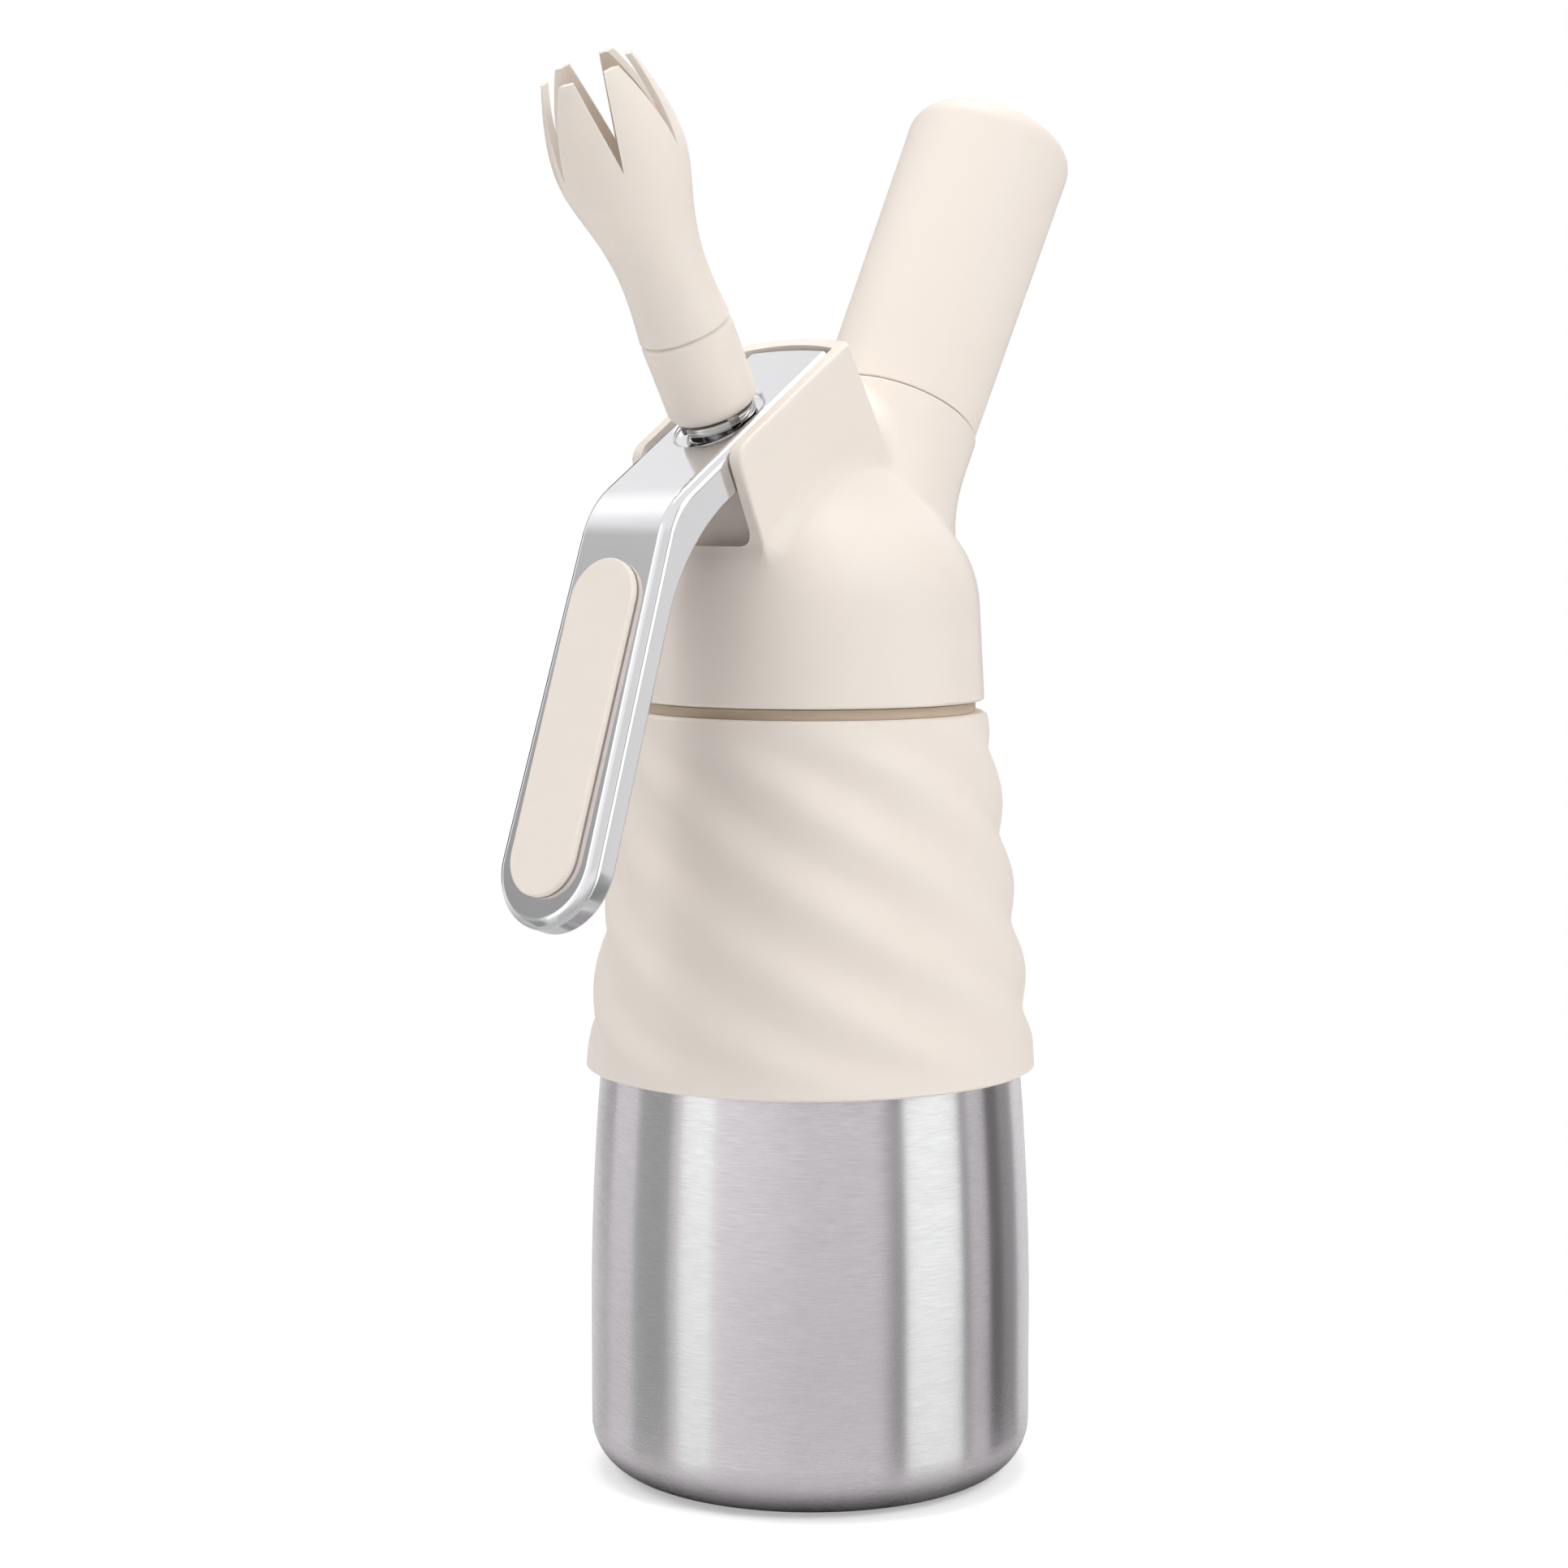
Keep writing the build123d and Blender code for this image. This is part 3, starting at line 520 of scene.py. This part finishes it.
scratches, given, made = start_group(
    "fine_scratches",
    [("Vector", "Vector", None), ("Stretch", "Vector", (40.0, 1500.0, 1500.0))],
    [("Scratches", "Float")],
)
drawn = add(
    scratches,
    "VectorMath",
    {0: given.outputs["Vector"], 1: given.outputs["Stretch"]},
    operation="MULTIPLY",
)
noise = add(scratches, "TexNoise", {"Vector": drawn.outputs[0], "Scale": 1.0, "Detail": 5.0})
fill(scratches, made, {"Scratches": noise.outputs[0]})

handling, given, made = start_group(
    "handling", [("Vector", "Vector", None), ("Size", "Float", 0.02)], [("Cloud", "Float")]
)
point = given.outputs["Vector"]
dense = add(handling, "Math", {0: 1.0, 1: given.outputs["Size"]}, operation="DIVIDE").outputs[0]
cloud = add(
    handling, "TexNoise", {"Vector": point, "Scale": dense, "Detail": 4.0, "Roughness": 0.55}
)
fill(handling, made, {"Cloud": full_range(handling, cloud.outputs[0])})
print("groups", scratches.name, handling.name)

# %% [markdown]
# ## Cream finishes
# Sleeve and pads are matt silicone, the head is coated metal with a satin gloss, the nozzle and
# holder are smooth plastic in the same cream. One function makes them all, because they share
# their parts: two close creams mixed by a broad tone, a gloss that varies a little, and a very
# low moulded grain as bump. The tip's thin petals let some light through, which a little
# scattering under the surface gives.

# %% Cream materials
CREAM_LIGHT = (0.875, 0.800, 0.735)
CREAM_DEEP = (0.850, 0.770, 0.700)
PLAIN_TONE = (1.0, 1.0, 1.0)
# Painted light: the pads' cream is made lighter than the rest, for the light that falls on the
# pads from the upper left.
PAD_PAINTED_LIGHT = (1.05, 1.05, 1.05)
# A painted shade: the gap lip's cream, darkened to the tan of the shaded gap under the head.
GAP_SHADE_TONE = (0.70, 0.63, 0.53)
CREAM_CLOUDS = 0.03
COAT_GLOSS = 0.25
SCATTER = (1.0, 0.75, 0.55)
SCATTER_DEPTH = 0.002


def cream(name, gloss, change, grain_size, grain_height, tone=PLAIN_TONE, **weights):
    """A cream finish; the weights are those of coat, sheen and scattering, where it has them."""
    material, tree, shader = start_material(name)
    point = own_coordinates(tree)
    fine = place_group(tree, grain, {"Vector": point, "Grains per metre": 1 / grain_size})
    touch = place_group(tree, handling, {"Vector": point, "Size": CREAM_CLOUDS})
    deep, light = toned(CREAM_DEEP, tone), toned(CREAM_LIGHT, tone)
    fill(
        tree,
        shader,
        {
            "Base Color": blend(tree, fine.outputs["Tone"], deep, light),
            "Roughness": spread(tree, touch.outputs["Cloud"], gloss - change, gloss + change),
            "Normal": bumped(tree, fine.outputs["Height"], grain_height),
            "Coat Weight": weights.get("coat", 0.0),
            "Coat Roughness": COAT_GLOSS,
            "Sheen Weight": weights.get("sheen", 0.0),
            "Subsurface Weight": weights.get("milky", 0.0),
            "Subsurface Radius": SCATTER,
            "Subsurface Scale": SCATTER_DEPTH,
        },
    )
    return material


sleeve_silicone = cream("sleeve_silicone", 0.62, 0.05, 0.00035, 0.000012, sheen=0.08)
# The pads are a lighter cream, which is painted light.
pad_silicone = cream("pad_silicone", 0.58, 0.05, 0.00030, 0.000010, PAD_PAINTED_LIGHT, sheen=0.08)
head_coat = cream("head_coat", 0.42, 0.04, 0.00045, 0.000008, coat=0.08)
nozzle_plastic = cream("nozzle_plastic", 0.46, 0.04, 0.00040, 0.000006, coat=0.05, milky=0.25)
holder_plastic = cream("holder_plastic", 0.50, 0.04, 0.00040, 0.000006)
# The gap lip's finish is cream darkened as painted shade.
gap_shade_silicone = cream("gap_shade_silicone", 0.62, 0.05, 0.00035, 0.000012, GAP_SHADE_TONE)
print("cream finishes made")

# %% [markdown]
# ## Brushed bottle steel
# The bottle is brushed while it turns, so thousands of short lines run round it. They stretch
# each reflection up and down, which makes the tall bright and dark bands. The shader does this
# with its anisotropic setting and a tangent that runs round Z; the lines themselves come from
# the brushing group, as small changes of colour, gloss and height.

# %% Bottle material
STREAK_SHARE = 0.2
BRUSH_CLOUDS = 0.025
BRUSH_DULL, BRUSH_BRIGHT = 1.2, 0.8
QUARTER_TURN = 0.25


def brushed(name, colours, gloss, per_metre, depth, stretch=0.0, place=(0, 0, 0), tilt=0.0):
    """A metal with lines round an axis, which stretch its reflections where that is asked."""
    material, tree, shader = start_material(name)
    point = own_coordinates(tree, place, tilt)
    brush = place_group(tree, brushing, {"Vector": point, "Lines per metre": per_metre})
    touch = place_group(tree, handling, {"Vector": point, "Size": BRUSH_CLOUDS})
    both = add(
        tree,
        "Mix",
        {"Factor": STREAK_SHARE, "A": brush.outputs["Lines"], "B": brush.outputs["Streaks"]},
        data_type="FLOAT",
    )
    mask = full_range(tree, both.outputs[0])
    worn = mean(tree, mask, touch.outputs["Cloud"])
    fill(
        tree,
        shader,
        {
            "Base Color": blend(tree, mask, *colours),
            "Roughness": spread(tree, worn, gloss * BRUSH_DULL, gloss * BRUSH_BRIGHT),
            "Normal": bumped(tree, brush.outputs["Lines"], depth),
            "Metallic": 1.0,
        },
    )
    if stretch:
        round_z = add(tree, "Tangent", direction_type="RADIAL", axis="Z").outputs[0]
        turned = {"Anisotropic": stretch, "Anisotropic Rotation": QUARTER_TURN, "Tangent": round_z}
        fill(tree, shader, turned)
    return material


BOTTLE = ((0.59, 0.555, 0.58, 1), (0.68, 0.64, 0.67, 1))
bottle_steel = brushed("bottle_steel", BOTTLE, 0.27, 5200, 0.000003, stretch=0.95)
print("bottle finish", bottle_steel.name)

# %% [markdown]
# ## Turned parts inside
# Stem, bush, stud and pin are turned on a lathe, so their marks run round their own axes: the
# nozzle's or the holder's. Both axes start from one point on the bottle's axis and lean away from
# it. The same function makes these metals, with the axis turned upright first.

# %% Turned materials
APEX = (0, 0, 0.147)
NOZZLE_TILT = math.radians(-29.5)
HOLDER_TILT = math.radians(28.5)
ON_NOZZLE = {"place": APEX, "tilt": NOZZLE_TILT}
ON_HOLDER = {"place": APEX, "tilt": HOLDER_TILT}
STEEL = ((0.50, 0.50, 0.51, 1), (0.64, 0.64, 0.65, 1))
ALLOY = ((0.62, 0.62, 0.63, 1), (0.74, 0.74, 0.75, 1))
nozzle_steel = brushed("nozzle_steel", STEEL, 0.22, 5000, 0.000003, **ON_NOZZLE)
holder_steel = brushed("holder_steel", STEEL, 0.24, 5000, 0.000003, **ON_HOLDER)
liner_alloy = brushed("liner_alloy", ALLOY, 0.30, 4000, 0.000004, **ON_HOLDER)
print("turned finishes made")

# %% [markdown]
# ## Polished lever
# The lever is polished until it mirrors the room. What keeps it from looking like plain chrome
# are faint scratches along it, in the gloss, and a slight cloudiness in gloss and colour. The
# ring, the spring and the cartridge have the same finish, each with its own grey and gloss.

# %% Polished material
POLISH_CLOUDS = 0.018
POLISH_BRIGHT, POLISH_DULL = 0.6, 1.5
POLISH_LIGHTER = (1.04, 1.04, 1.04)


def polished(name, colour, gloss, scratches_per_metre):
    """A mirror finish with scratches, which are told by their number along each axis."""
    material, tree, shader = start_material(name)
    point = own_coordinates(tree)
    marks = place_group(tree, scratches, {"Vector": point, "Stretch": scratches_per_metre})
    touch = place_group(tree, handling, {"Vector": point, "Size": POLISH_CLOUDS})
    cloud = touch.outputs["Cloud"]
    worn = mean(tree, marks.outputs["Scratches"], cloud)
    fill(
        tree,
        shader,
        {
            "Base Color": blend(tree, cloud, colour, toned(colour, POLISH_LIGHTER)),
            "Roughness": spread(tree, worn, gloss * POLISH_BRIGHT, gloss * POLISH_DULL),
            "Metallic": 1.0,
        },
    )
    return material


lever_polish = polished("lever_polish", (0.74, 0.735, 0.75, 1), 0.11, (300.0, 4000.0, 300.0))
# The ring's grey is darker than the lever's: painted shade, for the shade the ring sits in under
# the collar. The pin shares it.
shaded_ring_polish = polished("shaded_ring_polish", (0.50, 0.49, 0.48, 1), 0.14, (1500.0, 1500.0, 1500.0))
spring_wire = polished("spring_wire", (0.58, 0.58, 0.60, 1), 0.20, (900.0, 900.0, 900.0))
cartridge_zinc = polished("cartridge_zinc", (0.56, 0.57, 0.60, 1), 0.32, (500.0, 500.0, 500.0))
print("polished finishes made")

# %% [markdown]
# ## Soft seals
# Gaskets and seals are pale silicone. Real ones are a little see-through; only narrow rims of
# them ever show, so two close tones, a soft gloss and the moulded grain are enough here.

# %% Seal material
SEAL_GRAINS = 2500.0
SEAL_GRAIN_HEIGHT = 0.000008
SEAL_DEEPER = (0.9, 0.9, 0.9)
SEAL_GLOSS = (0.40, 0.55)


def seal(name, colour):
    """Pale soft silicone."""
    material, tree, shader = start_material(name)
    point = own_coordinates(tree)
    fine = place_group(tree, grain, {"Vector": point, "Grains per metre": SEAL_GRAINS})
    tone = fine.outputs["Tone"]
    fill(
        tree,
        shader,
        {
            "Base Color": blend(tree, tone, toned(colour, SEAL_DEEPER), colour),
            "Roughness": spread(tree, tone, *SEAL_GLOSS),
            "Normal": bumped(tree, fine.outputs["Height"], SEAL_GRAIN_HEIGHT),
        },
    )
    return material


seal_silicone = seal("seal_silicone", (0.78, 0.77, 0.73, 1))
print("seal finish", seal_silicone.name)

# %% [markdown]
# ## Dressing the nodes
# Each node of the model gets its finish. The shapes stay as they are.

# %% Dress the nodes
finishes = {
    bottle_steel: ["bottle"],
    sleeve_silicone: ["grip_sleeve"],
    head_coat: ["head_body"],
    pad_silicone: ["lever_pad", "lever_pad_base"],
    nozzle_plastic: ["tulip_tip", "tip_collar"],
    holder_plastic: ["charger_holder"],
    lever_polish: ["lever"],
    shaded_ring_polish: ["bearing_ring", "lever_pin"],
    nozzle_steel: ["valve_stem", "spring_washer", "guide_bush", "tip_insert"],
    holder_steel: ["charger_stud", "piercing_pin", "pin_retainer"],
    liner_alloy: ["holder_liner"],
    cartridge_zinc: ["gas_cartridge"],
    spring_wire: ["valve_spring"],
    seal_silicone: [
        "head_gasket",
        "valve_seat",
        "valve_disc",
        "stem_o_ring",
        "piercing_gasket",
        "nonreturn_sleeve",
    ],
}
for finish, names in finishes.items():
    for name in names:
        slots = nodes[name].data.materials
        slots.clear()
        slots.append(finish)
print("dressed", sum(len(names) for names in finishes.values()), "of", len(nodes))

# %% [markdown]
# ## Polished edges
# Polishing rounds every edge a little, and a rounded edge catches a thin bright line from each
# soft box. The lever's edges could be rounded in the model. Here three modifiers do it, which
# leave the model as it is: one joins the mesh's seams, one makes whole faces of the flat parts
# and one lays a narrow round along the edges. A fourth keeps the large faces' shading flat.

# %% Lever edges
SEAM_WIDTH = 0.000001
FLAT_WITHIN = math.radians(0.6)
EDGE_FROM = math.radians(24)
EDGE_ROUND = 0.0006
EDGE_STEPS = 5
LARGE_FACES_FIRST = 100


def soften_edges(thing):
    """Rounds the edges of a node with modifiers."""
    joined = thing.modifiers.new("joined", "WELD")
    joined.merge_threshold = SEAM_WIDTH
    flat = thing.modifiers.new("flat", "DECIMATE")
    flat.decimate_type = "DISSOLVE"
    flat.angle_limit = FLAT_WITHIN
    rounds = thing.modifiers.new("rounds", "BEVEL")
    rounds.limit_method = "ANGLE"
    rounds.angle_limit = EDGE_FROM
    rounds.width = EDGE_ROUND
    rounds.segments = EDGE_STEPS
    rounds.use_clamp_overlap = False
    even = thing.modifiers.new("even", "WEIGHTED_NORMAL")
    even.mode = "FACE_AREA"
    even.weight = LARGE_FACES_FIRST


soften_edges(nodes["lever"])
print("rounded edges on", nodes["lever"].name)

# %% [markdown]
# ## Valve spring
# The spring stands between the washer on the stem and the bush in the head. As the stem rises,
# the spring is pressed together, while its upper end stays where it is. A spring could be drawn
# at each length. Here a copy of it rides on the stem in place of the model's spring, which is
# hidden, and the copy keeps its length.

# %% Spring
coil = bpy.data.objects.new("spring_coil", nodes["valve_spring"].data.copy())
scene.collection.objects.link(coil)
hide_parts("valve_spring")
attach(coil, "valve")
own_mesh(coil)
print("spring", coil.name, "rides on the valve")

# %% [markdown]
# ## Helpers for round pieces
# Threads and rings are made alike: a small section with four corners is carried round an axis.
# These helpers place a section, close the walls between two of them and make the finished piece.

# %% Round pieces
CREASE_FROM = math.radians(35)


def upright_to(tilt):
    """The move from an upright axis to a tilted one; without a tilt, the bottle's own axis."""
    base = APEX if tilt else (0, 0, 0)
    return Matrix.Translation(base) @ Matrix.Rotation(tilt, 4, "Y")


def section(move, turn, corners):
    """The corners of a section, each a radius and a height, at an angle round the axis."""
    out, side = math.cos(turn), math.sin(turn)
    return [tuple(move @ Vector((radius * out, radius * side, z))) for radius, z in corners]


def walls(old, new):
    """The four faces between two sections, which are told by their first corners' numbers."""
    return [(old + n, new + n, new + (n + 1) % 4, old + (n + 1) % 4) for n in range(4)]


def new_piece(name, points, faces, body, finish):
    """A piece of the scene's own, on a body of the model."""
    mesh = bpy.data.meshes.new(name)
    mesh.from_pydata(points, [], faces)
    mesh.polygons.foreach_set("use_smooth", [True] * len(mesh.polygons))
    mesh.set_sharp_from_angle(angle=CREASE_FROM)
    mesh.materials.append(finish)
    piece = bpy.data.objects.new(name, mesh)
    scene.collection.objects.link(piece)
    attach(piece, body)
    return piece


print("round pieces can be made")

# %% [markdown]
# ## Screw threads
# Head, holder and tip are screwed on, and when they are off, the threads show: on the bottle's
# neck, on the stud under the holder and on the stem under the tip. A thread could be cut into the
# wall or laid on it. Here it is laid on as a ridge, whose section climbs a helix and whose height
# runs out over the last third of a turn at both ends, as a rolled or turned thread does. The
# section's half widths at foot and crest are shares of the pitch.

# %% Threads
RIDGE_STEPS = 72
RIDGE_SINK = 0.0001
RIDGE_FOOT, RIDGE_CREST = 0.40, 0.12
RUN_OUTS_PER_TURN = 3


def thread(name, wall_r, height, pitch, low, high, tilt, body, finish):
    """A helical ridge on a round wall, between two places along a tilted axis."""
    move = upright_to(tilt)
    foot, crest = RIDGE_FOOT * pitch, RIDGE_CREST * pitch
    root = wall_r - RIDGE_SINK
    steps = round(((high - low) / pitch - 1) * RIDGE_STEPS)
    points, faces = [], []
    for step in range(steps + 1):
        rise = low + pitch / 2 + pitch * step / RIDGE_STEPS
        nearest_end = min(step, steps - step)
        top = wall_r + height * min(1, RUN_OUTS_PER_TURN * nearest_end / RIDGE_STEPS)
        corners = [
            (root, rise - foot),
            (top, rise - crest),
            (top, rise + crest),
            (root, rise + foot),
        ]
        points += section(move, 2 * math.pi * step / RIDGE_STEPS, corners)
        if step:
            faces += walls(4 * step - 4, 4 * step)
    last = 4 * steps
    faces += [(0, 1, 2, 3), (last + 3, last + 2, last + 1, last)]
    return new_piece(name, points, faces, body, finish)


threads = [
    thread(
        "neck_thread",
        wall_r=0.0276,
        height=0.0004,
        pitch=0.003,
        low=0.1421,
        high=0.1506,
        tilt=0.0,
        body="bottle",
        finish=bottle_steel,
    ),
    thread(
        "stud_thread",
        wall_r=0.0116,
        height=0.00022,
        pitch=0.002,
        low=0.0509,
        high=0.0625,
        tilt=HOLDER_TILT,
        body="head",
        finish=holder_steel,
    ),
    thread(
        "stem_thread",
        wall_r=0.0040,
        height=0.00022,
        pitch=0.0008,
        low=0.0676,
        high=0.0714,
        tilt=NOZZLE_TILT,
        body="valve",
        finish=nozzle_steel,
    ),
]
print("threads", [ridge.name for ridge in threads])

# %% [markdown]
# ## Shoulders in the seams
# Where the holder meets the head and the tip meets the collar, a thin tan line shows, not a deep
# dark slit: a low moulded shoulder stands in the seam and centres the upper piece. In the same
# way a lip stands round the sleeve's collar and shows in the gap under the head. Its cream is
# painted a darker tan, a painted shade for the shade in that gap. All three are plain rings, so
# their section goes once round the axis.

# %% Shoulders
SHOULDER_STEPS = 128


def shoulder(name, inner_r, outer_r, low, high, tilt, body, finish):
    """A low ring round an axis, between two radii and two places along the axis."""
    move = upright_to(tilt)
    corners = [(inner_r, low), (outer_r, low), (outer_r, high), (inner_r, high)]
    points, faces = [], []
    for step in range(SHOULDER_STEPS):
        points += section(move, 2 * math.pi * step / SHOULDER_STEPS, corners)
        faces += walls(4 * step, 4 * ((step + 1) % SHOULDER_STEPS))
    return new_piece(name, points, faces, body, finish)


shoulders = [
    shoulder(
        "boss_shoulder",
        inner_r=0.0132,
        outer_r=0.01475,
        low=0.05035,
        high=0.05078,
        tilt=HOLDER_TILT,
        body="head",
        finish=head_coat,
    ),
    shoulder(
        "collar_shoulder",
        inner_r=0.0066,
        outer_r=0.0076,
        low=0.0666,
        high=0.06708,
        tilt=NOZZLE_TILT,
        body="valve",
        finish=nozzle_plastic,
    ),
    # Its darker tan is painted shade for the gap under the head.
    shoulder(
        "gap_shade_lip",
        inner_r=0.02922,
        outer_r=0.02975,
        low=0.13825,
        high=0.13995,
        tilt=0.0,
        body="bottle",
        finish=gap_shade_silicone,
    ),
]
print("rings", [ring.name for ring in shoulders])

# %% [markdown]
# ## The end
# Last, the scene is brought up to date.

# %% Finish
bpy.context.view_layer.update()
